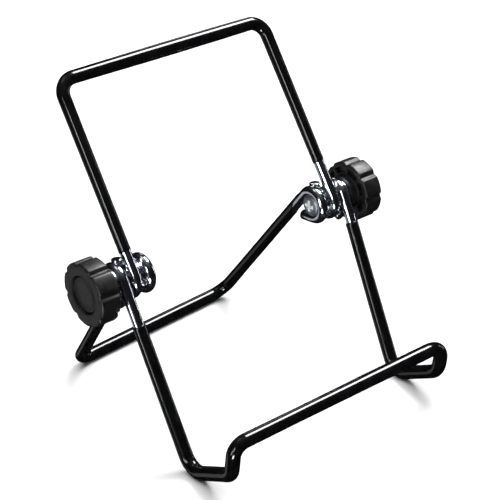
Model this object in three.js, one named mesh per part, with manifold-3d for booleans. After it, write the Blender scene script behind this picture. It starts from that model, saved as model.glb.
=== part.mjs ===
// Folding wire book stand: three bent and vinyl-coated wire frames that turn on two
// clamping screws, each tightened by a lobed knob.
// Millimetres, +Z up, +X to the right, -Y to the front, where the book's ledge is.
// The floor is z = 0, and the origin is the middle of the stand's footprint box.

import * as THREE from "three";
import { mergeVertices } from "three/addons/utils/BufferGeometryUtils.js";
import Module from "manifold-3d";

const deg = THREE.MathUtils.degToRad;
const { Vector2, Vector3 } = THREE;

// Wire and coat
const WIRE_R = 2.6;
const COAT_R = 3.35;
const COAT_BORE_R = 2.75; // leaves a hair's gap round the wire
const SECTION_SIDES = 12;
const BEND_STEP = deg(22.5);
const NEAREST_STATIONS = 0.05; // stations closer than this along a wire become one

// Hooked eyes: each wire goes round its screw and ends in a short straight tail
const EYE_R = 7;
const EYE_PITCH = 6.4; // from the lower frame's eye to the upper frame's along the screw
const EYE_BENDS = 3;
const LOWER_EYE_X = 65.45;
const UPPER_EYE_X = LOWER_EYE_X - EYE_PITCH;
const REAR_EYE_X = 51.4;
const PIVOT_HEIGHT = 80;

// Each leg leaves its eye square to the screw, then is set to lean inwards
const LEG_SET = 8;
const SET_BEND = 20;

// Lower frame: legs, feet that hold the book's edge, and the ledge bar in front
const LEG_LEAN = deg(25.7);
const FOOT_RISE = deg(26.3);
const FOOT_LENGTH = 32.5;
const FOOT_BEND = 8.5;
const HEEL_DROP = 0.1; // makes up for the flat facets round the foot's bend
const LIP_LEAN = deg(10.6);
const LIP_HEIGHT = 16.9;
const LEFT_LIP_BEND = 6; // at both of the lip's corners on this side
const RIGHT_LIP_BEND = 9.5;
const FOOT_X = 62.8;

// Upper frame: the back rest
const REST_LEAN = deg(33.2);
const REST_LENGTH = 92.4;
const REST_TOP_X = 58.4;
const REST_BEND = 8;

// Rear support
const REAR_SPREAD = deg(38.4);
const REAR_SKEW = deg(1.8); // the right leg spreads further than the middle value, the left less
const REAR_BAR_X = 49.8;
const REAR_BEND = 9;
const REAR_FLAT_TURN = deg(30) - REAR_SPREAD - REAR_SKEW; // turns a flat of the bar to the floor

// Clamping screw, along the pivot from the inside out
const HEAD_R = 5.05;
const HEAD_EDGE_X = REAR_EYE_X - 2.1;
const HEAD_RIM = 0.2;
const HEAD_DOME = 0.9;
const HEAD_RINGS = [0.4, 0.75, 1]; // across the dome, as shares of its radius
const SHANK_R = 2.5;
const SHANK_END_X = 79.8;
const SHANK_CHAMFER = 0.6;
const RECESS_WIDTH = 1.3;
const RECESS_SPAN = 5.4;
const RECESS_DEPTH = 1.5;

// Washers
const TOOTH_WASHER_R = 8.4;
const TOOTH_DEPTH = 1.2;
const TOOTH_COUNT = 14;
const TOOTH_WASHER_THICK = 0.4;
const WASHER_GAP = 0.12; // left between a washer and what it is clamped against
const SPACER_R = 6.6;
const SPACER_THICK = 1.15;
const WASHER_BORE_R = 2.8;
const KNOB_WASHER_R = 8;
const KNOB_WASHER_X = LOWER_EYE_X + WIRE_R + WASHER_GAP;
const KNOB_WASHER_THICK = 0.7;

// Knob
const KNOB_R = 15.2;
const LOBES = 8;
const LOBE_DEPTH = 1.1;
const GROOVE_POWER = 4; // the higher, the narrower the grooves
const LOBE_POINTS = 10;
const HUB_R = 8.6;
const HUB_X = 69;
const KNOB_BACK_X = 73;
const KNOB_FACE_X = 83;
const KNOB_BORE_R = 2.9;
const LEFT_KNOB_TURN = deg(37.5);
const RIGHT_KNOB_TURN = deg(22.5);
const POCKET_FLOOR_X = 75;
const CAP_SEAT_X = 80.9;
const CAP_RECESS_R = 8.7;
const CAP_R = 8.4;
const CAP_X = 81.1;
const CAP_THICK = 0.9;
const CAP_CHAMFER = 0.36;

// Hexagon nut, held in the knob's pocket
const NUT_ACROSS_FLATS = 8;
const NUT_THICK = 4;
const NUT_BORE_R = 2.6;
const POCKET_GAP = 0.15;

const WELD = 1e-4; // vertices closer than this are the same one
const OVERRUN = 1; // how far a cutting or joining solid runs past the face it meets

const wasm = await Module();
wasm.setup();

// ---------------------------------------------------------------- materials

const steel = new THREE.MeshStandardMaterial({ color: 0xb9bcc6, roughness: 0.18, metalness: 1 });
const zinc = new THREE.MeshStandardMaterial({ color: 0x9aa1ab, roughness: 0.32, metalness: 1 });
const vinyl = new THREE.MeshStandardMaterial({ color: 0x070708, roughness: 0.16, metalness: 0 });
const plastic = new THREE.MeshStandardMaterial({ color: 0x1b1b1c, roughness: 0.5, metalness: 0 });

// ---------------------------------------------------------------- solids

function toSolid(geometry) {
  const bare = geometry.index ? geometry.toNonIndexed() : geometry.clone();
  bare.deleteAttribute("normal");
  bare.deleteAttribute("uv");
  const merged = mergeVertices(bare, WELD);
  const vertProperties = merged.attributes.position.array;
  const triVerts = new Uint32Array(merged.index.array);
  return new wasm.Manifold(new wasm.Mesh({ numProp: 3, vertProperties, triVerts }));
}

function toGeometry(solid) {
  const { vertProperties, triVerts } = solid.getMesh();
  const geometry = new THREE.BufferGeometry();
  geometry.setAttribute("position", new THREE.BufferAttribute(vertProperties, 3));
  geometry.setIndex(new THREE.BufferAttribute(triVerts, 1));
  geometry.computeVertexNormals();
  return geometry;
}

function cut(body, ...tools) {
  return toGeometry(tools.reduce((left, tool) => left.subtract(toSolid(tool)), toSolid(body)));
}

// Closed outline whose flats stand at the given radius.
function polygonPoints(flatRadius, sides, turn = 0) {
  const radius = flatRadius / Math.cos(Math.PI / sides);
  return Array.from({ length: sides }, (_, i) => {
    const angle = turn + ((i + 0.5) * 2 * Math.PI) / sides;
    return new Vector2(radius * Math.cos(angle), radius * Math.sin(angle));
  });
}

// A flat outline in Y and Z, made thick along +X from one place to another.
function plateAlongX(points, fromX, toX, holePoints = null) {
  const shape = new THREE.Shape(points);
  if (holePoints) shape.holes.push(new THREE.Path(holePoints));
  const plate = new THREE.ExtrudeGeometry(shape, { depth: toX - fromX, bevelEnabled: false });
  const turnToX = new THREE.Matrix4().makeBasis(
    new Vector3(0, 1, 0),
    new Vector3(0, 0, 1),
    new Vector3(1, 0, 0),
  );
  return plate.applyMatrix4(turnToX).translate(fromX, 0, 0);
}

// ---------------------------------------------------------------- bent wire

// A centre line given by stations, each a point and the direction of the wire there.
class WirePath extends THREE.Curve {
  constructor(stations) {
    super();
    this.stations = stations;
  }

  station(u) {
    return this.stations[Math.round(u * (this.stations.length - 1))];
  }

  getPointAt(u) {
    return this.station(u).point.clone();
  }

  getTangentAt(u) {
    return this.station(u).direction.clone();
  }
}

// Stations round one corner, on an arc that touches both of its straights.
function bendStations(before, corner, after) {
  const into = corner.at.clone().sub(before.at).normalize();
  const out = after.at.clone().sub(corner.at).normalize();
  const turn = into.angleTo(out);
  const setback = corner.bend * Math.tan(turn / 2);
  const start = corner.at.clone().addScaledVector(into, -setback);
  const axis = into.clone().cross(out).normalize();
  const toCentre = axis.clone().cross(into).multiplyScalar(corner.bend);
  const centre = start.clone().add(toCentre);
  const steps = Math.max(2, Math.ceil(turn / BEND_STEP));
  return Array.from({ length: steps + 1 }, (_, i) => {
    const angle = (turn * i) / steps;
    return {
      point: centre.clone().sub(toCentre.clone().applyAxisAngle(axis, angle)),
      direction: into.clone().applyAxisAngle(axis, angle),
    };
  });
}

// Corners are { at, bend }; the first and the last are the wire's two ends.
function wirePath(corners) {
  const last = corners.length - 1;
  const firstRun = corners[1].at.clone().sub(corners[0].at).normalize();
  const lastRun = corners[last].at.clone().sub(corners[last - 1].at).normalize();
  const stations = [{ point: corners[0].at, direction: firstRun }];
  for (let i = 1; i < last; i++) {
    for (const next of bendStations(corners[i - 1], corners[i], corners[i + 1])) {
      const previous = stations[stations.length - 1];
      if (next.point.distanceTo(previous.point) > NEAREST_STATIONS) stations.push(next);
    }
  }
  stations.push({ point: corners[last].at, direction: lastRun });
  return new WirePath(stations);
}

function sweep(corners, flatRadius, turn = 0, boreRadius = 0) {
  const path = wirePath(corners);
  const shape = new THREE.Shape(polygonPoints(flatRadius, SECTION_SIDES, turn));
  if (boreRadius) {
    shape.holes.push(new THREE.Path(polygonPoints(boreRadius, SECTION_SIDES, turn)));
  }
  const steps = path.stations.length - 1;
  return new THREE.ExtrudeGeometry(shape, { steps, extrudePath: path });
}

// ---------------------------------------------------------------- frames

// A point beside the pivot: side is -1 for left and 1 for right.
function besidePivot(side, x, y, z) {
  return new Vector3(side * x, y, PIVOT_HEIGHT + z);
}

// Angles in the Y-Z plane run from +Y towards +Z. A leg heads away from the pivot.
function legHeading(frame, side) {
  return frame.heading + side * frame.skew;
}

// Where on its eye a leg begins; wind says which way the wire turns round the screw.
function legStart(frame, side) {
  return legHeading(frame, side) + (frame.wind * Math.PI) / 2;
}

// A leg either has a length of its own or runs down to a height above the floor.
function legLength(frame, side) {
  if (frame.length) return frame.length;
  const startZ = PIVOT_HEIGHT + EYE_R * Math.sin(legStart(frame, side));
  return (startZ - frame.endHeight) / -Math.sin(legHeading(frame, side));
}

// The tail's tip and the corners of one eye, in order towards the leg.
function eyeCorners(frame, side) {
  const start = legStart(frame, side);
  const turn = frame.sweep / EYE_BENDS;
  const cornerR = EYE_R / Math.cos(turn / 2);
  const corners = [];
  for (let i = 0; i < EYE_BENDS; i++) {
    const angle = start + frame.wind * (i + 0.5) * turn;
    const at = besidePivot(side, frame.eyeX, cornerR * Math.cos(angle), cornerR * Math.sin(angle));
    corners.unshift({ at, bend: EYE_R });
  }
  const end = start + frame.wind * frame.sweep;
  const reach = frame.wind * frame.tail;
  const y = EYE_R * Math.cos(end) - reach * Math.sin(end);
  const z = EYE_R * Math.sin(end) + reach * Math.cos(end);
  const tip = { at: besidePivot(side, frame.eyeX, y, z) };
  return [tip, ...corners, { at: onLeg(frame, side, LEG_SET), bend: SET_BEND }];
}

// The point on a leg's centre line at a distance from where it leaves its eye.
function onLeg(frame, side, distance) {
  const start = legStart(frame, side);
  const heading = legHeading(frame, side);
  const share = Math.max(0, distance - LEG_SET) / (legLength(frame, side) - LEG_SET);
  const x = THREE.MathUtils.lerp(frame.eyeX, frame.endX, share);
  const y = EYE_R * Math.cos(start) + distance * Math.cos(heading);
  const z = EYE_R * Math.sin(start) + distance * Math.sin(heading);
  return besidePivot(side, x, y, z);
}

// Everything between the two eyes: left side's corners, then the right side's mirrored.
function spanCorners(frame) {
  const left = frame.corners(-1);
  const right = frame.corners(1).reverse();
  return [...left, ...right];
}

function wireGeometry(frame) {
  const leftEye = eyeCorners(frame, -1);
  const rightEye = eyeCorners(frame, 1).reverse();
  return sweep([...leftEye, ...spanCorners(frame), ...rightEye], WIRE_R, frame.sectionTurn);
}

function coatGeometry(frame) {
  const leftEnd = { at: onLeg(frame, -1, frame.coatFrom.left) };
  const rightEnd = { at: onLeg(frame, 1, frame.coatFrom.right) };
  const corners = [leftEnd, ...spanCorners(frame), rightEnd];
  return sweep(corners, COAT_R, frame.sectionTurn, COAT_BORE_R);
}

// How far the lowest point of the foot's bend stands above the sharp corner.
function footBendRise() {
  const halfCorner = (LEG_LEAN + Math.PI / 2 - FOOT_RISE) / 2;
  const tilt = (Math.PI / 2 - FOOT_RISE - LEG_LEAN) / 2;
  return FOOT_BEND * (Math.cos(tilt) / Math.sin(halfCorner) - 1);
}

// Where a leg's straight line ends, at the corner where the wire turns away.
function legEnd(frame, side) {
  return onLeg(frame, side, legLength(frame, side));
}

function lowerFrame() {
  const frame = {
    eyeX: LOWER_EYE_X,
    endX: FOOT_X,
    heading: -Math.PI / 2 - LEG_LEAN,
    skew: 0,
    endHeight: COAT_R - footBendRise() - HEEL_DROP,
    wind: -1,
    sweep: deg(222),
    tail: 7.6,
    sectionTurn: 0,
    coatFrom: { left: 21, right: 14 },
  };
  frame.corners = (side) => {
    const heel = legEnd(frame, side);
    const footRun = new Vector3(0, -Math.cos(FOOT_RISE), Math.sin(FOOT_RISE));
    const lipRun = new Vector3(0, -Math.sin(LIP_LEAN), Math.cos(LIP_LEAN));
    const toe = heel.clone().addScaledVector(footRun, FOOT_LENGTH);
    const lip = toe.clone().addScaledVector(lipRun, LIP_HEIGHT);
    const bend = side < 0 ? LEFT_LIP_BEND : RIGHT_LIP_BEND;
    return [{ at: heel, bend: FOOT_BEND }, { at: toe, bend }, { at: lip, bend }];
  };
  return frame;
}

function upperFrame() {
  const frame = {
    eyeX: UPPER_EYE_X,
    endX: REST_TOP_X,
    heading: Math.PI / 2 - REST_LEAN,
    skew: 0,
    length: REST_LENGTH,
    wind: 1,
    sweep: deg(207),
    tail: 7.6,
    sectionTurn: 0,
    coatFrom: { left: 11, right: 18.4 },
  };
  frame.corners = (side) => [{ at: legEnd(frame, side), bend: REST_BEND }];
  return frame;
}

function rearSupport() {
  const frame = {
    eyeX: REAR_EYE_X,
    endX: REAR_BAR_X,
    heading: -Math.PI / 2 + REAR_SPREAD,
    skew: REAR_SKEW,
    endHeight: COAT_R,
    wind: 1,
    sweep: deg(224),
    tail: 8,
    sectionTurn: REAR_FLAT_TURN,
    coatFrom: { left: 11, right: 11 },
  };
  frame.corners = (side) => [{ at: legEnd(frame, side), bend: REAR_BEND }];
  return frame;
}

// ---------------------------------------------------------------- clamping screws
// Each piece is made on the right-hand side about the X axis; its group places it.

// Raised countersunk screw: its cone seats in the rear support's eye, and its domed
// head, with a cross recess, faces inwards.
function screwGeometry() {
  const topX = HEAD_EDGE_X - HEAD_DOME;
  const coneX = HEAD_EDGE_X + HEAD_RIM;
  const dome = HEAD_RINGS.map((share) => new Vector2(HEAD_R * share, topX + HEAD_DOME * share ** 2));
  const profile = [
    new Vector2(0, topX),
    ...dome,
    new Vector2(HEAD_R, coneX),
    new Vector2(SHANK_R, coneX + HEAD_R - SHANK_R),
    new Vector2(SHANK_R, SHANK_END_X - SHANK_CHAMFER),
    new Vector2(SHANK_R - SHANK_CHAMFER, SHANK_END_X),
    new Vector2(0, SHANK_END_X),
  ];
  const body = new THREE.LatheGeometry(profile, 20).rotateZ(-Math.PI / 2);
  const upright = new THREE.BoxGeometry(2 * RECESS_DEPTH, RECESS_WIDTH, RECESS_SPAN);
  const level = new THREE.BoxGeometry(2 * RECESS_DEPTH, RECESS_SPAN, RECESS_WIDTH);
  return cut(body, upright.translate(topX, 0, 0), level.translate(topX, 0, 0));
}

// Lock washer with square teeth round its rim.
function toothWasherGeometry(startX) {
  const rootR = TOOTH_WASHER_R - TOOTH_DEPTH;
  const points = [];
  for (let i = 0; i < TOOTH_COUNT; i++) {
    for (const [share, radius] of [
      [0.05, TOOTH_WASHER_R],
      [0.45, TOOTH_WASHER_R],
      [0.55, rootR],
      [0.95, rootR],
    ]) {
      const angle = ((i + share) * 2 * Math.PI) / TOOTH_COUNT;
      points.push(new Vector2(radius * Math.cos(angle), radius * Math.sin(angle)));
    }
  }
  const bore = polygonPoints(WASHER_BORE_R, 16);
  return plateAlongX(points, startX, startX + TOOTH_WASHER_THICK, bore);
}

function plainWasherGeometry(radius, startX, thick) {
  const bore = polygonPoints(WASHER_BORE_R, 16);
  return plateAlongX(polygonPoints(radius, 20), startX, startX + thick, bore);
}

// Knob outline: wide crests with a shallow round groove between each two.
function lobedPoints() {
  const count = LOBES * LOBE_POINTS;
  return Array.from({ length: count }, (_, i) => {
    const angle = (i * 2 * Math.PI) / count;
    const groove = (0.5 - 0.5 * Math.cos(LOBES * angle)) ** GROOVE_POWER;
    const radius = KNOB_R - LOBE_DEPTH * groove;
    return new Vector2(radius * Math.cos(angle), radius * Math.sin(angle));
  });
}

// Knob with a hub behind it, a pocket for the nut, and a seat for the cap in its face.
function knobGeometry(turn) {
  const lobes = toSolid(plateAlongX(lobedPoints(), KNOB_BACK_X, KNOB_FACE_X).rotateX(turn));
  const hub = toSolid(plateAlongX(polygonPoints(HUB_R, 24), HUB_X, KNOB_BACK_X + OVERRUN));
  const body = toGeometry(lobes.add(hub));
  const pocket = polygonPoints(NUT_ACROSS_FLATS / 2 + POCKET_GAP, 6);
  return cut(
    body,
    plateAlongX(polygonPoints(KNOB_BORE_R, 16), HUB_X - OVERRUN, KNOB_FACE_X),
    plateAlongX(pocket, POCKET_FLOOR_X, KNOB_FACE_X + OVERRUN).rotateX(turn),
    plateAlongX(polygonPoints(CAP_RECESS_R, 32), CAP_SEAT_X, KNOB_FACE_X + OVERRUN),
  );
}

function nutGeometry(turn) {
  const outer = polygonPoints(NUT_ACROSS_FLATS / 2, 6);
  const startX = POCKET_FLOOR_X + POCKET_GAP;
  const bore = polygonPoints(NUT_BORE_R, 16);
  return plateAlongX(outer, startX, startX + NUT_THICK, bore).rotateX(turn);
}

// Plain disc pressed into the knob's face over the nut, with the edge of its face broken.
function capGeometry() {
  const faceX = CAP_X + CAP_THICK;
  const profile = [
    new Vector2(0, CAP_X),
    new Vector2(CAP_R, CAP_X),
    new Vector2(CAP_R, faceX - CAP_CHAMFER),
    new Vector2(CAP_R - CAP_CHAMFER, faceX),
    new Vector2(0, faceX),
  ];
  return new THREE.LatheGeometry(profile, 32).rotateZ(-Math.PI / 2);
}

// ---------------------------------------------------------------- assembly

function named(name, geometry, material) {
  const mesh = new THREE.Mesh(geometry, material);
  mesh.name = name;
  return mesh;
}

function frameMeshes(name, frame) {
  return [
    named(name + "_wire", wireGeometry(frame), steel),
    named(name + "_coat", coatGeometry(frame), vinyl),
  ];
}

// One screw with its washers and knob; the left one is the right one turned about Z.
function clamp(sideName, side, knobTurn) {
  const group = new THREE.Group();
  const innerX = REAR_EYE_X + WIRE_R + WASHER_GAP;
  const spacerX = innerX + TOOTH_WASHER_THICK + WASHER_GAP;
  const middleX = spacerX + SPACER_THICK + WASHER_GAP;
  const outerX = UPPER_EYE_X + WIRE_R + WASHER_GAP;
  const spacer = plainWasherGeometry(SPACER_R, spacerX, SPACER_THICK);
  const knobWasher = plainWasherGeometry(KNOB_WASHER_R, KNOB_WASHER_X, KNOB_WASHER_THICK);
  group.add(
    named(sideName + "_screw", screwGeometry(), zinc),
    named(sideName + "_inner_tooth_washer", toothWasherGeometry(innerX), steel),
    named(sideName + "_spacer_washer", spacer, zinc),
    named(sideName + "_middle_tooth_washer", toothWasherGeometry(middleX), steel),
    named(sideName + "_outer_tooth_washer", toothWasherGeometry(outerX), steel),
    named(sideName + "_knob_washer", knobWasher, steel),
    named(sideName + "_knob", knobGeometry(knobTurn), plastic),
    named(sideName + "_knob_nut", nutGeometry(knobTurn), zinc),
    named(sideName + "_knob_cap", capGeometry(), plastic),
  );
  group.position.z = PIVOT_HEIGHT;
  if (side < 0) group.rotation.z = Math.PI;
  return group;
}

const stand = new THREE.Group();
stand.add(
  ...frameMeshes("lower_frame", lowerFrame()),
  ...frameMeshes("upper_frame", upperFrame()),
  ...frameMeshes("rear_support", rearSupport()),
  clamp("left", -1, LEFT_KNOB_TURN),
  clamp("right", 1, RIGHT_KNOB_TURN),
);

// Stand the box of the whole object on the floor, with its middle over the origin.
const box = new THREE.Box3().setFromObject(stand, true);
stand.position.y = -(box.min.y + box.max.y) / 2;
stand.position.z = -box.min.z;

export default stand;
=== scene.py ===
import math

import bmesh
import bpy
from mathutils import Matrix, Quaternion, Vector


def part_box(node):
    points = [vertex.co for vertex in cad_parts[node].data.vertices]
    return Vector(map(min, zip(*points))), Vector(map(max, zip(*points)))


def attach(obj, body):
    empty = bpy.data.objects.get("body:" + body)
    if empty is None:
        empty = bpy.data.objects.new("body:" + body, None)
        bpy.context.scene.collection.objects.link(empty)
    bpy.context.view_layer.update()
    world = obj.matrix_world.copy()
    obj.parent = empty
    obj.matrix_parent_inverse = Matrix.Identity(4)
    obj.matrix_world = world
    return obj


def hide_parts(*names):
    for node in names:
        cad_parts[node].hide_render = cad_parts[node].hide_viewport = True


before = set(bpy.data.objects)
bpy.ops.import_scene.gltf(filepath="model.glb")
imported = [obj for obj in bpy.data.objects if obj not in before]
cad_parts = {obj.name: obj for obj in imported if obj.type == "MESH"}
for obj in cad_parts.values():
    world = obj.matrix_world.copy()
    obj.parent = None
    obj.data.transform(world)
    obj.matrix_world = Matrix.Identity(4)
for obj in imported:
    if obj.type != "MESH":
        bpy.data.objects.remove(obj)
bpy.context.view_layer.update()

MM = 0.001
X = Vector((1, 0, 0))
Y = Vector((0, 1, 0))
Z = Vector((0, 0, 1))
SIDES = {"left": -1, "right": 1}

# The screws' axis, which all three frames turn on, in metres
screw_low, screw_high = (Vector(corner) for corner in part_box("right_screw"))
PIVOT = Vector((0, (screw_low.y + screw_high.y) / 2, (screw_low.z + screw_high.z) / 2))

# From here to the stage, lengths are in millimetres.

# Wire and coat
WIRE_R = 2.6
COAT_R = 3.35
COAT_BORE_R = 2.64
COAT_END_WAVE = 0.16  # how uneven the edge is at each end
COAT_BEAD = 0.04  # how far the bead near each end stands proud
REAR_COAT_LEAN = 6  # how far its right end leans each way along the wire
LEAN_FADE = 20  # how far from its end a coat still leans
TUBE_SIDES = 40
BEND_STEP = math.radians(5)
LONGEST_STEP = 9
SHORTEST_STEP = 0.02

# Hooked eyes
EYE_R = 7
EYE_BENDS = 3
LOWER_EYE_X = 65.45
UPPER_EYE_X = 59.05
REAR_EYE_X = 51.4
LEG_SET = 8  # where each leg begins to run inwards, along it from its eye
SET_BEND = 20

# Frames
LEG_LEAN = math.radians(25.7)
FOOT_RISE = math.radians(26.3)
FOOT_LENGTH = 32.5
FOOT_BEND = 8.5
HEEL_DROP = 0.1  # the coat is about this much thinner at the heels
LIP_LEAN = math.radians(10.6)
LIP_HEIGHT = 16.9
LIP_BEND = {-1: 6, 1: 9.5}
FOOT_X = 62.8
REST_LEAN = math.radians(33.2)
REST_LENGTH = 92.4
REST_TOP_X = 58.4
REST_BEND = 8
REAR_SPREAD = math.radians(38.4)
REAR_SKEW = math.radians(1.8)
REAR_BAR_X = 49.8
REAR_BEND = 9

# Screws
SCREW_SIDES = 72
SHANK_R = 2.5
SHANK_CHAMFER = 0.6
HEAD_R = 5.02
HEAD_CONE = 2.75  # from the head's edge to the shank
DOME_RISE = 0.84
DOME_SWEEP = 0.92  # sine of half the arc that the dome takes in
RECESS_REACH = 3.4  # how far out and how far in the middles of its faces may lie
RECESS_LAYERS = ((-1, 3.6, 1.0), (0.3, 2.9, 0.8), (1.3, 1.1, 0.65))  # depth, half span, half width

# Washers
WASHER_SIDES = 72
WASHER_BORE_R = 2.8
WASHER_BEVEL = 0.15
WASHER_SHARE = 0.985  # of the radius at the corners of the many-sided washer it replaces
TEETH = 14
SIDES_PER_TOOTH = 16
TOOTH_TIP_R = 8.38
TOOTH_ROOT_R = 7.15
TOOTH_NECK = 0.25  # how far inside the roots the twist begins
TOOTH_TWIST = 0.1
TOOTH_START = 0.04  # where a tooth begins and ends, and the width of each flank, in pitches
TOOTH_END = 0.5
TOOTH_FLANK = 0.06

# Knobs
LOBES = 8
SIDES_PER_LOBE = 36
LOBE_PITCH = 2 * math.pi / LOBES
KNOB_R = 15.2
KNOB_BEVEL = 0.75
KNOB_BORE_R = 2.9
RIM_DEPTH = 10
GROOVE_DEPTH = 1.1
GROOVE_HALF_WIDTH = math.radians(8.5)
HUB_R = 8.6
HUB_BEVEL = 0.4
HUB_FILLET = 0.5  # where the hub meets the back of the rim
POCKET_DEPTH = 1.7
POCKET_INNER_R = 9.75
POCKET_OUTER_R = 12.8
POCKET_HALF_WIDTH = math.radians(17.5)
POCKET_SLOPE = math.radians(2)
POCKET_WALL = 0.2  # how far its inner and outer walls slope
FACE_TO_SEAT = ((0, 12.4), (0, 9.5), (0.1, 9.22), (0.35, 9.1))  # depth, radius
CAP_SEAT_R = 8.9
CAP_SEAT_DEPTH = 2.1
CAP_SEAT_FILLET = 0.1
NUT_ROOM_R = 4.8
NUT_ROOM_DEPTH = 8  # from the knob's face
CAP_SIDES = 96
CAP_R = 8.4
CAP_BEVEL = 0.35
CAP_DISH = ((0, 0.9), (0.12, 1.15), (0.2, 4.62), (0.22, CAP_R))  # depth, how far in
KNOB_TURN = {"left": math.radians(37.5), "right": math.radians(22.5)}

# Stage, lights and camera, in metres
FLOOR_REACH = 8
FLOOR_DROP = 0.0001  # keeps the floor just below the lowest coat
DOME_R = FLOOR_REACH * 0.95
LIGHT_DISTANCE = 1.3
CAMERA_DISTANCE = 0.7302
CAMERA_AIM = Vector((0.0055, -0.0073, -0.0059))  # from the middle of the screws' axis
CAMERA_AZIMUTH = math.radians(38.18)
CAMERA_ELEVATION = math.radians(27.35)
CAMERA_ROLL = math.radians(-2.18)
CAMERA_LENS = 112.18  # millimetres, on a 36 mm sensor


# ---------------------------------------------------------------- materials


def new_material(name):
    """A material of one shader, and that shader."""
    material = bpy.data.materials.new(name)
    material.use_nodes = True
    nodes = material.node_tree.nodes
    nodes.clear()
    shader = nodes.new("ShaderNodeBsdfPrincipled")
    output = nodes.new("ShaderNodeOutputMaterial")
    material.node_tree.links.new(shader.outputs["BSDF"], output.inputs["Surface"])
    return material, shader


def link(material, source, target):
    material.node_tree.links.new(source, target)


def object_coords(material):
    return material.node_tree.nodes.new("ShaderNodeTexCoord").outputs["Object"]


def length_coords(material, around, along):
    """The map laid round and along a wire, in millimetres, drawn out by these two scales."""
    nodes = material.node_tree.nodes
    uv = nodes.new("ShaderNodeUVMap")
    uv.uv_map = "wrap"
    stretch = nodes.new("ShaderNodeMapping")
    stretch.inputs["Scale"].default_value = (around, along, 1)
    link(material, uv.outputs["UV"], stretch.inputs["Vector"])
    return stretch.outputs["Vector"]


def noise(material, coords, scale, detail):
    node = material.node_tree.nodes.new("ShaderNodeTexNoise")
    node.inputs["Scale"].default_value = scale
    node.inputs["Detail"].default_value = detail
    node.inputs["Roughness"].default_value = 0.55
    link(material, coords, node.inputs["Vector"])
    return node.outputs["Fac"]


def spread(material, value, low, high):
    """Noise, which seldom leaves 0.3 to 0.7, stretched to run from low to high."""
    node = material.node_tree.nodes.new("ShaderNodeMapRange")
    limits = {"From Min": 0.3, "From Max": 0.7, "To Min": low, "To Max": high}
    for name, number in limits.items():
        node.inputs[name].default_value = number
    link(material, value, node.inputs["Value"])
    return node.outputs["Result"]


def two_tone(material, value, dark, light):
    """Noise as a blend of two colours."""
    ramp = material.node_tree.nodes.new("ShaderNodeValToRGB")
    for element, position, color in zip(ramp.color_ramp.elements, (0.35, 0.65), (dark, light)):
        element.position = position
        element.color = (*color, 1)
    link(material, value, ramp.inputs["Fac"])
    return ramp.outputs["Color"]


def bump(material, height, distance, strength, under=None):
    """Relief of this depth in metres, laid over another relief where one is given."""
    node = material.node_tree.nodes.new("ShaderNodeBump")
    node.inputs["Strength"].default_value = strength
    node.inputs["Distance"].default_value = distance
    link(material, height, node.inputs["Height"])
    if under is not None:
        link(material, under, node.inputs["Normal"])
    return node.outputs["Normal"]


def bright_wire():
    """Plated drawn wire: fine lines along it, and faint clouds in the plating."""
    material, shader = new_material("bright_wire")
    clouds = noise(material, object_coords(material), 180, 4)
    draw_lines = noise(material, length_coords(material, 3.2, 0.06), 1.0, 5)
    dark, light = (0.54, 0.57, 0.66), (0.74, 0.76, 0.83)
    link(material, two_tone(material, clouds, dark, light), shader.inputs["Base Color"])
    link(material, spread(material, draw_lines, 0.08, 0.17), shader.inputs["Roughness"])
    link(material, bump(material, draw_lines, 0.00001, 0.12), shader.inputs["Normal"])
    shader.inputs["Metallic"].default_value = 1
    return material


def black_vinyl():
    """Gloss vinyl: nearly smooth, with the slow waviness of a dipped coat."""
    material, shader = new_material("black_vinyl")
    coords = object_coords(material)
    waves = noise(material, coords, 160, 2)
    grain = noise(material, coords, 2600, 2)
    tone = two_tone(material, waves, (0.0022, 0.0022, 0.0026), (0.0045, 0.0045, 0.005))
    link(material, tone, shader.inputs["Base Color"])
    link(material, spread(material, grain, 0.07, 0.15), shader.inputs["Roughness"])
    slow = bump(material, waves, 0.0002, 0.35)
    link(material, bump(material, grain, 0.000012, 0.35, slow), shader.inputs["Normal"])
    shader.inputs["IOR"].default_value = 1.46
    return material


def black_plastic():
    """Satin moulded plastic with the fine texture of a spark-eroded mould."""
    material, shader = new_material("black_plastic")
    coords = object_coords(material)
    mottle = noise(material, coords, 420, 3)
    grain = noise(material, coords, 5200, 2)
    tone = two_tone(material, mottle, (0.0035, 0.0035, 0.0038), (0.0075, 0.0075, 0.0078))
    link(material, tone, shader.inputs["Base Color"])
    link(material, spread(material, mottle, 0.35, 0.49), shader.inputs["Roughness"])
    link(material, bump(material, grain, 0.00003, 0.5), shader.inputs["Normal"])
    shader.inputs["IOR"].default_value = 1.5
    return material


def zinc(name, dark, light, roughest, metallic):
    """Bluish zinc plate, a little cloudy, with fine marks."""
    material, shader = new_material(name)
    coords = object_coords(material)
    clouds = noise(material, coords, 1300, 4)
    marks = noise(material, coords, 6000, 2)
    link(material, two_tone(material, clouds, dark, light), shader.inputs["Base Color"])
    rough = spread(material, clouds, roughest - 0.16, roughest)
    link(material, rough, shader.inputs["Roughness"])
    link(material, bump(material, marks, 0.00001, 0.4), shader.inputs["Normal"])
    shader.inputs["Metallic"].default_value = metallic
    return material


def washer_steel():
    """Stamped and plated steel, a little cloudy."""
    material, shader = new_material("washer_steel")
    coords = object_coords(material)
    clouds = noise(material, coords, 900, 4)
    tone = two_tone(material, clouds, (0.5, 0.52, 0.56), (0.74, 0.75, 0.79))
    link(material, tone, shader.inputs["Base Color"])
    link(material, spread(material, clouds, 0.12, 0.3), shader.inputs["Roughness"])
    link(material, bump(material, clouds, 0.00001, 0.4), shader.inputs["Normal"])
    shader.inputs["Metallic"].default_value = 1
    return material


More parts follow.
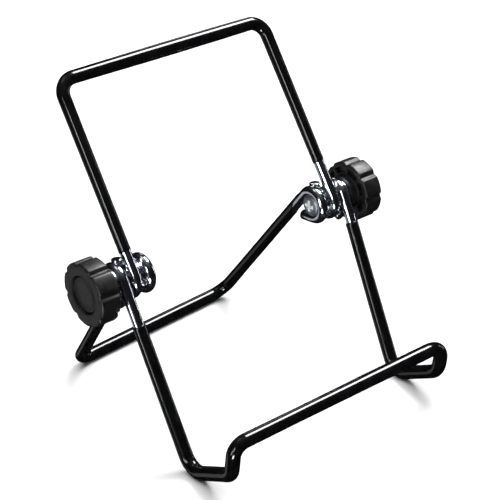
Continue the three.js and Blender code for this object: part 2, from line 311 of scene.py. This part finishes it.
WIRE = bright_wire()
VINYL = black_vinyl()
PLASTIC = black_plastic()
ZINC = zinc("zinc_plate", (0.52, 0.56, 0.63), (0.6, 0.64, 0.71), 0.46, 1)
# Pale matt plate for the screws' cross recesses: a painted highlight.
RECESS_HIGHLIGHT_PAINT = zinc("painted_recess_highlight", (0.86, 0.89, 0.91), (0.95, 0.96, 0.97), 0.6, 0)
WASHER = washer_steel()


# ---------------------------------------------------------------- ring solids
# A solid is a list of rings, each (centre, across, up, radius, lift). radius is a number
# or a function of the angle; lift moves a ring's points along its axis, by angle. A
# radius of 0 closes the solid in a point. All are in millimetres until built.


def by_angle(value, angle):
    return value(angle) if callable(value) else value


def ring_solid(name, rings, sides, material, closed=False, sharp=40, wrap_r=1.0):
    bm = bmesh.new()
    wrap = bm.loops.layers.uv.new("wrap")
    loops = []
    travel = [0.0]
    for index, (centre, across, up, radius, lift) in enumerate(rings):
        axis = across.cross(up)
        if index:
            step = (centre - rings[index - 1][0]).length
            grow = by_angle(radius, 0) - by_angle(rings[index - 1][3], 0)
            travel.append(travel[-1] + math.hypot(step, grow))
        if not callable(radius) and radius == 0:
            loops.append([bm.verts.new((centre + axis * by_angle(lift, 0)) * MM)])
            continue
        loop = []
        for k in range(sides):
            angle = 2 * math.pi * k / sides
            r = by_angle(radius, angle)
            out = across * math.cos(angle) + up * math.sin(angle)
            point = centre + out * r + axis * by_angle(lift, angle)
            loop.append(bm.verts.new(point * MM))
        loops.append(loop)
    pairs = list(zip(range(len(loops) - 1), range(1, len(loops))))
    if closed:
        pairs.append((len(loops) - 1, 0))
    for a, b in pairs:
        la, lb = loops[a], loops[b]
        va, vb = travel[a], travel[b] if b else travel[a] + 1
        for k in range(sides):
            nxt = (k + 1) % sides
            if len(la) == 1:
                corners = [(la[0], k, va), (lb[k], k, vb), (lb[nxt], k + 1, vb)]
            elif len(lb) == 1:
                corners = [(la[k], k, va), (lb[0], k, vb), (la[nxt], k + 1, va)]
            else:
                corners = [
                    (la[k], k, va),
                    (lb[k], k, vb),
                    (lb[nxt], k + 1, vb),
                    (la[nxt], k + 1, va),
                ]
            face = bm.faces.new([corner[0] for corner in corners])
            for loop, (_, turn, along) in zip(face.loops, corners):
                loop[wrap].uv = (2 * math.pi * wrap_r * turn / sides, along)
    bmesh.ops.recalc_face_normals(bm, faces=bm.faces)
    return mesh_piece(name, bm, material, sharp)


def mesh_piece(name, bm, material, sharp):
    mesh = bpy.data.meshes.new(name)
    bm.to_mesh(mesh)
    bm.free()
    mesh.materials.append(material)
    mesh.shade_smooth()
    mesh.set_sharp_from_angle(angle=math.radians(sharp))
    piece = bpy.data.objects.new(name, mesh)
    bpy.context.scene.collection.objects.link(piece)
    return piece


def settle(piece, body, node):
    """The piece rides on a body and hides the CAD node that it stands for."""
    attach(piece, body)
    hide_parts(node)


# ---------------------------------------------------------------- bent wire


def bend_stations(before, corner, after, bend):
    """Points and directions round one corner, on an arc that touches both straights."""
    into = (corner - before).normalized()
    out = (after - corner).normalized()
    turn = into.angle(out)
    start = corner - into * bend * math.tan(turn / 2)
    axis = into.cross(out).normalized()
    to_centre = axis.cross(into) * bend
    centre = start + to_centre
    steps = max(3, math.ceil(turn / BEND_STEP))
    stations = []
    for i in range(steps + 1):
        spin = Quaternion(axis, turn * i / steps)
        stations.append((centre - spin @ to_centre, spin @ into))
    return stations


def wire_line(corners):
    """Stations of a bent wire. Corners are (point, bend); the two ends have no bend."""
    points = [corner[0] for corner in corners]
    stations = [(points[0], (points[1] - points[0]).normalized())]
    for i in range(1, len(points) - 1):
        for station in bend_stations(points[i - 1], points[i], points[i + 1], corners[i][1]):
            if (station[0] - stations[-1][0]).length > SHORTEST_STEP:
                stations.append(station)
    stations.append((points[-1], (points[-1] - points[-2]).normalized()))
    return stations


def split_runs(stations):
    """Adds stations along the straights, so that none is far from the next."""
    points = [stations[0]]
    for (start, _), (end, heading) in zip(stations, stations[1:]):
        count = math.ceil((end - start).length / LONGEST_STEP)
        for i in range(1, count):
            points.append((start.lerp(end, i / count), (end - start).normalized()))
        points.append((end, heading))
    return points


def with_frames(stations):
    """Adds to each station two directions across the wire that don't twist along it."""
    direction = stations[0][1]
    across = direction.orthogonal().normalized()
    framed = []
    for point, heading in stations:
        across = direction.rotation_difference(heading) @ across
        across = (across - heading * across.dot(heading)).normalized()
        direction = heading
        framed.append((point, heading, across, heading.cross(across)))
    return framed


def end_rings(station, profile, outward):
    """Rings at one end: profile is (how far in from the end, radius, how uneven)."""
    point, heading, across, up = station
    rings = []
    for inset, radius, uneven in profile:

        def lift(angle, size=uneven):
            return size * (math.sin(angle + point.x) + 0.6 * math.sin(2 * angle + point.z))

        rings.append((point + heading * outward * inset, across, up, radius, lift))
    return rings


def wire_piece(name, corners):
    """A solid wire, cropped square at each end with its edge just broken."""
    framed = with_frames(wire_line(corners))
    outline = [(0, 0), (0, WIRE_R * 0.5), (0, WIRE_R - 0.3), (0.07, WIRE_R - 0.1), (0.28, WIRE_R)]
    cap = [(inset, radius, 0) for inset, radius in outline]
    rings = end_rings(framed[0], cap, 1)
    rings += [(p, across, up, WIRE_R, 0) for p, _, across, up in framed[1:-1]]
    rings += end_rings(framed[-1], cap[::-1], -1)
    return ring_solid(name, rings, TUBE_SIDES, WIRE, sharp=50, wrap_r=WIRE_R)


def stepped_value(stops, place):
    """The value at a place between stops, each (place, value)."""
    for (low, first), (high, second) in zip(stops, stops[1:]):
        if place <= high:
            return first + (second - first) * max(0, place - low) / (high - low)
    return stops[-1][1]


def coat_end(radius):
    """The coat's edge: thin at the wire, then a soft bead where the dip stopped."""
    return [
        (0, COAT_BORE_R + 0.05, COAT_END_WAVE),
        (0.04, COAT_BORE_R + 0.16, COAT_END_WAVE),
        (0.2, radius - 0.06, 0.14),
        (0.55, radius + COAT_BEAD, 0.1),
        (1.3, radius + 0.03, 0.03),
        (2.6, radius, 0),
    ]


def lean_end(rings, station, outward, reach):
    """Leans a coat's end, so that its side away from the screw comes nearer the eye."""
    end, heading = station[:2]
    away = X.cross(heading * outward)
    leaned = []
    for centre, across, up, radius, lift in rings:
        share = max(0, 1 - (centre - end).length / LEAN_FADE)

        def lean(angle, across=across, up=up, lift=lift, share=share):
            out = across * math.cos(angle) + up * math.sin(angle)
            return by_angle(lift, angle) - outward * reach * share * out.dot(away)

        leaned.append((centre, across, up, radius, lean if share else lift))
    return leaned


def coat_piece(name, corners, thickness, lean=0):
    """The coat: a tube round the wire, its radius given by stops along its length.

    lean is how far its right end leans each way along the wire.
    """
    framed = with_frames(split_runs(wire_line(corners)))
    travel = [0.0]
    for this, nxt in zip(framed, framed[1:]):
        travel.append(travel[-1] + (nxt[0] - this[0]).length)
    radii = [stepped_value(thickness, along / travel[-1]) for along in travel]
    rings = end_rings(framed[0], coat_end(radii[0]), 1)
    for radius, (point, _, across, up) in list(zip(radii, framed))[1:-1]:
        rings.append((point, across, up, radius, 0))
    rings += end_rings(framed[-1], coat_end(radii[-1])[::-1], -1)
    bore_end = [(0, COAT_BORE_R, COAT_END_WAVE)]
    rings += end_rings(framed[-1], bore_end, -1)
    rings += [(p, across, up, COAT_BORE_R, 0) for p, _, across, up in framed[-2:0:-1]]
    rings += end_rings(framed[0], bore_end, 1)
    if lean:
        rings = lean_end(rings, framed[-1], -1, lean)
    return ring_solid(name, rings, TUBE_SIDES, VINYL, closed=True, sharp=50, wrap_r=COAT_R)


class Frame:
    """One bent wire frame, from its left eye to its right eye.

    Angles are about the screws, from +Y towards +Z. The legs run along heading, turned by
    skew one way on the left and the other way on the right. Each eye goes on round the screw
    from its leg through sweep degrees, with growing angles where wind is 1 and falling ones
    where it is -1, and ends in a straight tail. A leg is length long, or else it reaches down
    to end_height. coat_from says how far along the left and the right leg the coat begins.
    """

    def __init__(self, eye_x, end_x, heading, wind, sweep, tail, coat_from,
                 bend=0, skew=0, length=0, end_height=0):
        self.eye_x = eye_x
        self.end_x = end_x
        self.heading = heading
        self.wind = wind
        self.sweep = math.radians(sweep)
        self.tail = tail
        self.coat_from = coat_from
        self.bend = bend
        self.skew = skew
        self.length = length
        self.end_height = end_height

    def beside(self, side, x, y, z):
        """A point x out from the middle of the stand, and y and z from the screws' axis."""
        return Vector((side * x, PIVOT.y / MM + y, PIVOT.z / MM + z))

    def leg_heading(self, side):
        return self.heading + side * self.skew

    def leg_start(self, side):
        return self.leg_heading(side) + self.wind * math.pi / 2

    def leg_length(self, side):
        if self.length:
            return self.length
        start_z = PIVOT.z / MM + EYE_R * math.sin(self.leg_start(side))
        return (start_z - self.end_height) / -math.sin(self.leg_heading(side))

    def on_leg(self, side, distance):
        """A point on the leg's centre line, this far from where its eye begins."""
        start, heading = self.leg_start(side), self.leg_heading(side)
        share = max(0, distance - LEG_SET) / (self.leg_length(side) - LEG_SET)
        x = self.eye_x + (self.end_x - self.eye_x) * share
        y = EYE_R * math.cos(start) + distance * math.cos(heading)
        z = EYE_R * math.sin(start) + distance * math.sin(heading)
        return self.beside(side, x, y, z)

    def eye(self, side):
        """Corners from the tip of the tail, round the eye, to where the leg turns inwards."""
        turn = self.sweep / EYE_BENDS
        corner_r = EYE_R / math.cos(turn / 2)
        corners = []
        for i in range(EYE_BENDS):
            angle = self.leg_start(side) + self.wind * (i + 0.5) * turn
            y, z = corner_r * math.cos(angle), corner_r * math.sin(angle)
            corners.insert(0, (self.beside(side, self.eye_x, y, z), EYE_R))
        end = self.leg_start(side) + self.wind * self.sweep
        reach = self.wind * self.tail
        y = EYE_R * math.cos(end) - reach * math.sin(end)
        z = EYE_R * math.sin(end) + reach * math.cos(end)
        tip = (self.beside(side, self.eye_x, y, z), 0)
        return [tip, *corners, (self.on_leg(side, LEG_SET), SET_BEND)]

    def far_corners(self, side):
        """Corners on one side beyond its leg, the last of them on the cross bar."""
        return [(self.on_leg(side, self.leg_length(side)), self.bend)]

    def span(self):
        return self.far_corners(-1) + self.far_corners(1)[::-1]

    def wire_corners(self):
        return self.eye(-1) + self.span() + self.eye(1)[::-1]

    def coat_corners(self):
        left, right = self.coat_from
        return [(self.on_leg(-1, left), 0), *self.span(), (self.on_leg(1, right), 0)]


class LowerFrame(Frame):
    """The frame that stands on its heels: rising feet, then the ledge bar across them."""

    def far_corners(self, side):
        heel = self.on_leg(side, self.leg_length(side))
        foot_run = Vector((0, -math.cos(FOOT_RISE), math.sin(FOOT_RISE)))
        lip_run = Vector((0, -math.sin(LIP_LEAN), math.cos(LIP_LEAN)))
        toe = heel + foot_run * FOOT_LENGTH
        lip = toe + lip_run * LIP_HEIGHT
        return [(heel, FOOT_BEND), (toe, LIP_BEND[side]), (lip, LIP_BEND[side])]


def foot_bend_rise():
    """How far the lowest point of the foot's bend stands above the sharp corner."""
    half_corner = (LEG_LEAN + math.pi / 2 - FOOT_RISE) / 2
    tilt = (math.pi / 2 - FOOT_RISE - LEG_LEAN) / 2
    return FOOT_BEND * (math.cos(tilt) / math.sin(half_corner) - 1)


lower = LowerFrame(
    LOWER_EYE_X, FOOT_X, heading=-math.pi / 2 - LEG_LEAN, wind=-1, sweep=222, tail=7.6,
    coat_from=(21, 14), end_height=COAT_R - foot_bend_rise() - HEEL_DROP,
)
upper = Frame(
    UPPER_EYE_X, REST_TOP_X, heading=math.pi / 2 - REST_LEAN, wind=1, sweep=207, tail=7.6,
    coat_from=(11, 18.4), bend=REST_BEND, length=REST_LENGTH,
)
rear = Frame(
    REAR_EYE_X, REAR_BAR_X, heading=-math.pi / 2 + REAR_SPREAD, wind=1, sweep=224, tail=8,
    coat_from=(11, 11), bend=REAR_BEND, skew=REAR_SKEW, end_height=COAT_R,
)

# The dipped coat is thickest near the cross bars. Stops are (share of its length, radius).
LOWER_COAT = ((0, 3.12), (0.16, 3.3), (0.28, 3.36), (0.42, 3.25), (0.6, 3.45), (0.72, 3.4),
              (0.84, 3.3), (1, 3.12))
UPPER_COAT = ((0, 2.86), (0.25, 3.05), (0.35, 3.22), (0.5, 3.5), (0.65, 3.42), (0.75, 3.15),
              (1, 2.86))
REAR_COAT = ((0, 2.92), (0.25, 3.0), (0.36, 3.32), (0.5, 3.34), (0.64, 3.3), (0.75, 3.0),
             (1, 2.9))

# Only the rear coat has an end that leans.
for body, shape, thickness, lean in (
    ("lower_frame", lower, LOWER_COAT, 0),
    ("upper_frame", upper, UPPER_COAT, 0),
    ("rear_support", rear, REAR_COAT, REAR_COAT_LEAN),
):
    wire = wire_piece(body + "_bent_wire", shape.wire_corners())
    settle(wire, body, body + "_wire")
    coat = coat_piece(body + "_vinyl", shape.coat_corners(), thickness, lean)
    settle(coat, body, body + "_coat")


# ---------------------------------------------------------------- clamps
# Each is laid out along the screw, outwards from the middle of the stand.


def along_screw(side, profile):
    """Rings about the screw from (distance outwards, radius) or (…, radius, lift)."""
    across = Y * side
    rings = []
    for entry in profile:
        x, radius = entry[:2]
        lift = entry[2] if len(entry) > 2 else 0
        centre = PIVOT / MM + X * (side * x)
        rings.append((centre, across, Z, radius, lift))
    return rings


def rounded(x, r, bevel, facing, steps=4):
    """Points round a bevelled edge whose sharp corner is (x, r), going outwards.

    facing is -1 from the inner face to the rim, and 1 from the rim to the outer face.
    """
    points = []
    for i in range(steps + 1):
        turn = math.pi / 2 * i / steps
        along, out = math.sin(turn), math.cos(turn)
        if facing < 0:
            along, out = out, along
        points.append((x - facing * bevel + facing * along * bevel, r - bevel + out * bevel))
    return points


def disc(low_x, high_x, bore_r, outer_r, bevel):
    """Closed outline of a flat washer with its outer edges rounded."""
    return [
        (low_x, bore_r),
        *rounded(low_x, outer_r, bevel, -1, 3),
        *rounded(high_x, outer_r, bevel, 1, 3),
        (high_x, bore_r),
    ]


def ramp_up(value, start, width):
    """0 up to start, then a straight rise to 1 over this width."""
    return min(max((value - start) / width, 0), 1)


def node_span(node):
    """Where a node begins and ends along the screw, outwards, in millimetres."""
    low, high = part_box(node)
    ends = sorted((abs(low[0]) / MM, abs(high[0]) / MM))
    return ends[0], ends[1]


def node_radius(node):
    low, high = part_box(node)
    return (high[2] - low[2]) / 2 / MM


def washer_piece(side_name, side, kind):
    node = f"{side_name}_{kind}"
    low_x, high_x = node_span(node)
    outer_r = node_radius(node) * WASHER_SHARE
    outline = disc(low_x, high_x, WASHER_BORE_R, outer_r, WASHER_BEVEL)
    rings = along_screw(side, outline)
    return ring_solid(node + "_ring", rings, WASHER_SIDES, WASHER, closed=True, wrap_r=outer_r)


def tooth_washer_piece(side_name, side, kind):
    """Lock washer: each tooth is twisted a little, so that one corner bites each way."""
    node = f"{side_name}_{kind}"
    low_x, high_x = node_span(node)
    flat_r = TOOTH_ROOT_R - TOOTH_NECK

    def phase(angle):
        return (angle / (2 * math.pi) * TEETH) % 1

    def rim(angle):
        p = phase(angle)
        rise = ramp_up(p, TOOTH_START, TOOTH_FLANK) - ramp_up(p, TOOTH_END, TOOTH_FLANK)
        return TOOTH_ROOT_R + (TOOTH_TIP_R - TOOTH_ROOT_R) * rise

    def lift(angle):
        p = phase(angle)
        return TOOTH_TWIST * (1 - 4 * p) if p < TOOTH_START + TOOTH_END else 0

    outline = [(low_x, WASHER_BORE_R), (low_x, flat_r), (low_x, rim, lift)]
    outline += [(high_x, rim, lift), (high_x, flat_r), (high_x, WASHER_BORE_R)]
    rings = along_screw(side, outline)
    sides = TEETH * SIDES_PER_TOOTH
    return ring_solid(node + "_star", rings, sides, WASHER, closed=True, sharp=30, wrap_r=8)


def cross_corners(half_span, half_width):
    """Corners of a cross: the two at each arm's tip, then the one before the next arm."""
    corners = []
    for k in range(4):
        cos, sin = math.cos(math.pi / 2 * k), math.sin(math.pi / 2 * k)
        tip = ((half_span, -half_width), (half_span, half_width))
        for a, b in (*tip, (half_width, half_width)):
            corners.append((a * cos - b * sin, a * sin + b * cos))
    return corners


def cross_tool(side, face_x):
    """The driver's tip: a cross that tapers as it goes in."""
    bm = bmesh.new()
    layers = []
    for depth, half_span, half_width in RECESS_LAYERS:
        centre = PIVOT / MM + X * (side * (face_x + depth))
        layer = []
        for y, z in cross_corners(half_span, half_width):
            layer.append(bm.verts.new((centre + Y * (side * y) + Z * z) * MM))
        layers.append(layer)
    count = len(layers[0])
    for a, b in zip(layers, layers[1:]):
        for k in range(count):
            nxt = (k + 1) % count
            bm.faces.new([a[k], a[nxt], b[nxt], b[k]])
    bm.faces.new(layers[0])
    bm.faces.new(layers[-1])
    bmesh.ops.recalc_face_normals(bm, faces=bm.faces)
    return mesh_piece("driver", bm, ZINC, 30)


def dome_drop(share):
    """How far the dome has fallen, from 0 in its middle to 1 at the head's edge."""
    arc_drop = 1 - math.sqrt(1 - (share * DOME_SWEEP) ** 2)
    return arc_drop / (1 - math.sqrt(1 - DOME_SWEEP**2))


def screw_piece(side_name, side):
    """A raised countersunk head with its cross recess cut out, and a plain shank."""
    node = side_name + "_screw"
    tip_x, end_x = node_span(node)
    edge_x = tip_x + DOME_RISE
    profile = [(tip_x, 0)]
    for share in (0.15, 0.3, 0.45, 0.6, 0.75, 0.88, 0.95):
        profile.append((tip_x + DOME_RISE * dome_drop(share), HEAD_R * share))
    profile += [(edge_x, HEAD_R * 0.99), (edge_x + 0.1, HEAD_R), (edge_x + 0.22, HEAD_R)]
    profile += [(edge_x + HEAD_CONE, SHANK_R), (end_x - SHANK_CHAMFER, SHANK_R)]
    profile += [(end_x, SHANK_R - SHANK_CHAMFER), (end_x, 0)]
    rings = along_screw(side, profile)
    head = ring_solid(node + "_zinc", rings, SCREW_SIDES, ZINC, wrap_r=5)
    tool = cross_tool(side, tip_x)
    carve = head.modifiers.new("recess", "BOOLEAN")
    carve.operation = "DIFFERENCE"
    carve.solver = "EXACT"
    carve.object = tool
    ready = head.evaluated_get(bpy.context.evaluated_depsgraph_get())
    carved = bpy.data.meshes.new_from_object(ready)
    head.modifiers.clear()
    head.data = carved
    bpy.data.objects.remove(tool)
    carved.shade_smooth()
    carved.set_sharp_from_angle(angle=math.radians(28))
    # Paints a highlight into the cross recess.
    paint_recess_highlight(carved, tip_x)
    return head


def paint_recess_highlight(mesh, tip_x):
    """The cross recess gets a pale matt plate: a painted highlight, for light caught inside it."""
    mesh.materials.append(RECESS_HIGHLIGHT_PAINT)
    for face in mesh.polygons:
        out = face.center / MM - PIVOT / MM
        depth = abs(out.x) - tip_x
        near = math.hypot(out.y, out.z) < RECESS_REACH and depth < RECESS_REACH
        steep = abs(face.normal.x) < 0.8
        if near and (steep or depth > 0.4):
            face.material_index = 1


def groove(angle):
    """0 on a lobe's crest and 1 in the middle of a groove."""
    from_groove = abs((angle % LOBE_PITCH) - LOBE_PITCH / 2)
    if from_groove > GROOVE_HALF_WIDTH:
        return 0
    return 0.5 + 0.5 * math.cos(math.pi * from_groove / GROOVE_HALF_WIDTH)


def knob_piece(side_name, side):
    """A hub, a lobed rim with a hollow behind each lobe, and seats for the cap and the nut."""
    node = side_name + "_knob"
    hub_x, face_x = node_span(node)
    back_x = face_x - RIM_DEPTH
    seat_x = face_x - CAP_SEAT_DEPTH
    floor_x = face_x - NUT_ROOM_DEPTH
    turn = KNOB_TURN[side_name]

    def lobed(radius):
        return lambda angle: radius - GROOVE_DEPTH * groove(angle - turn)

    def pocket(angle):
        """Shallow hollow behind each lobe, with a rib left behind each groove."""
        half = LOBE_PITCH / 2
        from_crest = abs(((angle - turn + half) % LOBE_PITCH) - half)
        return POCKET_DEPTH * ramp_up(POCKET_HALF_WIDTH - from_crest, 0, POCKET_SLOPE)

    profile = [(hub_x, KNOB_BORE_R), *rounded(hub_x, HUB_R, HUB_BEVEL, -1, 3)]
    for inset, rise in ((1, 0), (0.3, 0.3), (0, 1)):
        profile.append((back_x - inset * HUB_FILLET, HUB_R + rise * HUB_FILLET))
    profile += [(back_x, POCKET_INNER_R), (back_x, POCKET_INNER_R + POCKET_WALL, pocket)]
    profile += [(back_x, POCKET_OUTER_R - POCKET_WALL, pocket), (back_x, POCKET_OUTER_R)]
    for x, facing in ((back_x, -1), (face_x, 1)):
        for edge_x, edge_r in rounded(x, KNOB_R, KNOB_BEVEL, facing):
            profile.append((edge_x, lobed(edge_r)))
    profile += [(face_x - depth, radius) for depth, radius in FACE_TO_SEAT]
    profile.append((seat_x + 2 * CAP_SEAT_FILLET, CAP_SEAT_R + CAP_SEAT_FILLET))
    profile += [(seat_x, CAP_SEAT_R), (seat_x, NUT_ROOM_R)]
    profile += [(floor_x, NUT_ROOM_R), (floor_x, KNOB_BORE_R)]
    rings = along_screw(side, profile)
    sides = LOBES * SIDES_PER_LOBE
    return ring_solid(node + "_lobed", rings, sides, PLASTIC, closed=True, sharp=38)


def cap_piece(side_name, side):
    """A disc with a low rim round a face that is dished a little."""
    node = side_name + "_knob_cap"
    low_x, high_x = node_span(node)
    profile = [(low_x, 0), (low_x, CAP_R), *rounded(high_x, CAP_R, CAP_BEVEL, 1, 3)]
    profile += [(high_x - depth, CAP_R - inset) for depth, inset in CAP_DISH]
    rings = along_screw(side, profile)
    return ring_solid(node + "_disc", rings, CAP_SIDES, PLASTIC, wrap_r=CAP_R)


for side_name, side in SIDES.items():
    settle(screw_piece(side_name, side), "lower_frame", side_name + "_screw")
    for kind in ("inner_tooth_washer", "middle_tooth_washer", "outer_tooth_washer"):
        star = tooth_washer_piece(side_name, side, kind)
        settle(star, "lower_frame", f"{side_name}_{kind}")
    spacer = washer_piece(side_name, side, "spacer_washer")
    settle(spacer, "lower_frame", side_name + "_spacer_washer")
    under_knob = washer_piece(side_name, side, "knob_washer")
    travel_body = side_name + "_knob_travel"
    settle(under_knob, travel_body, side_name + "_knob_washer")
    knob_body = side_name + "_knob"
    settle(knob_piece(side_name, side), knob_body, side_name + "_knob")
    settle(cap_piece(side_name, side), knob_body, side_name + "_knob_cap")
    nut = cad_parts[side_name + "_knob_nut"]
    for material_slot in nut.material_slots:
        material_slot.material = ZINC


# ---------------------------------------------------------------- stage, light and camera


def make_floor():
    """A pale floor, FLOOR_REACH from its middle to each side."""
    material, shader = new_material("pale_floor")
    coords = object_coords(material)
    clouds = noise(material, coords, 3, 2)
    tone = two_tone(material, clouds, (0.86, 0.86, 0.86), (0.88, 0.88, 0.88))
    link(material, tone, shader.inputs["Base Color"])
    shader.inputs["Roughness"].default_value = 0.9
    shader.inputs["Specular IOR Level"].default_value = 0
    bm = bmesh.new()
    bmesh.ops.create_grid(bm, x_segments=8, y_segments=8, size=FLOOR_REACH)
    floor = mesh_piece("floor", bm, material, 30)
    floor.location.z = -FLOOR_DROP
    floor.visible_glossy = False
    floor.visible_shadow = False


def area_light(name, direction, size, power, distance=LIGHT_DISTANCE, diffuse=False):
    """A soft box in this direction from the screws, facing them.

    Unless it is diffuse too, it shows only in gloss.
    """
    data = bpy.data.lights.new(name, "AREA")
    data.shape = "RECTANGLE"
    data.size, data.size_y = size
    data.energy = power
    lamp = bpy.data.objects.new(name, data)
    towards = Vector(direction).normalized()
    lamp.location = PIVOT + towards * distance
    lamp.rotation_euler = towards.to_track_quat("Z", "Y").to_euler()
    lamp.visible_camera = False
    lamp.visible_diffuse = diffuse
    bpy.context.scene.collection.objects.link(lamp)


def make_backdrop():
    """A pale dome beyond the floor, which only the camera sees."""
    material, shader = new_material("pale_backdrop")
    clouds = noise(material, object_coords(material), 0.05, 2)
    tone = two_tone(material, clouds, (0.97, 0.97, 0.97), (1, 1, 1))
    link(material, tone, shader.inputs["Emission Color"])
    shader.inputs["Emission Strength"].default_value = 1
    shader.inputs["Base Color"].default_value = (0, 0, 0, 1)
    shader.inputs["Specular IOR Level"].default_value = 0
    bm = bmesh.new()
    bmesh.ops.create_uvsphere(bm, u_segments=48, v_segments=24, radius=DOME_R)
    dome = mesh_piece("backdrop", bm, material, 30)
    dome.visible_diffuse = False
    dome.visible_glossy = False
    dome.visible_shadow = False


def even_fill(name, strength, width):
    """Soft light straight down, the same all over the floor, which no gloss reflects."""
    data = bpy.data.lights.new(name, "SUN")
    data.energy = strength
    data.angle = math.radians(width)
    lamp = bpy.data.objects.new(name, data)
    lamp.visible_glossy = False
    bpy.context.scene.collection.objects.link(lamp)


def make_lights():
    top = (0.55, 0.05, 0.835)
    area_light("top_box", top, (0.56, 0.52), 13, diffuse=True)
    area_light("top_sheen", top, (0.56, 0.52), 13, distance=1.31)
    area_light("left_strip", (-0.89, -0.37, 0.28), (0.14, 0.5), 3.4)
    area_light("left_low_strip", (-0.96, -0.14, -0.02), (0.16, 0.5), 2.6)
    area_light("left_card", (-0.94, -0.25, 0.1), (0.6, 0.9), 0.8, distance=1.34)
    area_light("right_strip", (0.99, -0.16, 0.01), (0.06, 0.7), 1.1)
    area_light("low_card", (-0.55, 0.7, -0.46), (0.6, 0.6), 0.6)
    area_light("front_card", (-0.71, -0.56, -0.46), (0.34, 0.34), 12)
    area_light("back_card", (0.55, 0.7, 0.46), (0.24, 0.22), 0.4)
    area_light("zenith_card", (-0.2, 0.3, 0.93), (0.6, 0.5), 1.0, distance=1.5)
    even_fill("overhead_fill", 3.4, 90)


def make_world():
    """A dark studio, a little lighter overhead."""
    world = bpy.data.worlds.new("studio")
    bpy.context.scene.world = world
    world.use_nodes = True
    nodes = world.node_tree.nodes
    links = world.node_tree.links
    nodes.clear()
    background = nodes.new("ShaderNodeBackground")
    output = nodes.new("ShaderNodeOutputWorld")
    coords = nodes.new("ShaderNodeTexCoord")
    split = nodes.new("ShaderNodeSeparateXYZ")
    ramp = nodes.new("ShaderNodeValToRGB")
    rise = nodes.new("ShaderNodeMapRange")
    rise.inputs["From Min"].default_value = -1
    stops = ((0.0, 0.01), (0.5, 0.008), (0.75, 0.012), (0.9, 0.06), (1.0, 0.2))
    while len(ramp.color_ramp.elements) < len(stops):
        ramp.color_ramp.elements.new(0.5)
    for element, (position, level) in zip(ramp.color_ramp.elements, stops):
        element.position = position
        element.color = (level, level * 1.01, level * 1.04, 1)
    links.new(coords.outputs["Generated"], split.inputs["Vector"])
    links.new(split.outputs["Z"], rise.inputs["Value"])
    links.new(rise.outputs["Result"], ramp.inputs["Fac"])
    links.new(ramp.outputs["Color"], background.inputs["Color"])
    links.new(background.outputs["Background"], output.inputs["Surface"])
    bpy.context.scene.view_settings.view_transform = "Standard"


def make_camera():
    """Looks down at the front from the left, and is rolled a little."""
    ahead = Vector((math.sin(CAMERA_AZIMUTH), math.cos(CAMERA_AZIMUTH), 0))
    level = Vector((ahead.y, -ahead.x, 0))
    look = ahead * math.cos(CAMERA_ELEVATION) - Z * math.sin(CAMERA_ELEVATION)
    rise = level.cross(look)
    right = level * math.cos(CAMERA_ROLL) + rise * math.sin(CAMERA_ROLL)
    up = rise * math.cos(CAMERA_ROLL) - level * math.sin(CAMERA_ROLL)
    data = bpy.data.cameras.new("camera")
    data.sensor_width = 36
    data.lens = CAMERA_LENS
    data.clip_start = 0.01
    camera = bpy.data.objects.new("camera", data)
    turn = Matrix((right, up, -look)).transposed().to_4x4()
    place = PIVOT + CAMERA_AIM - look * CAMERA_DISTANCE
    camera.matrix_world = Matrix.Translation(place) @ turn
    bpy.context.scene.collection.objects.link(camera)
    bpy.context.scene.camera = camera


make_floor()
make_backdrop()
make_lights()
make_world()
make_camera()
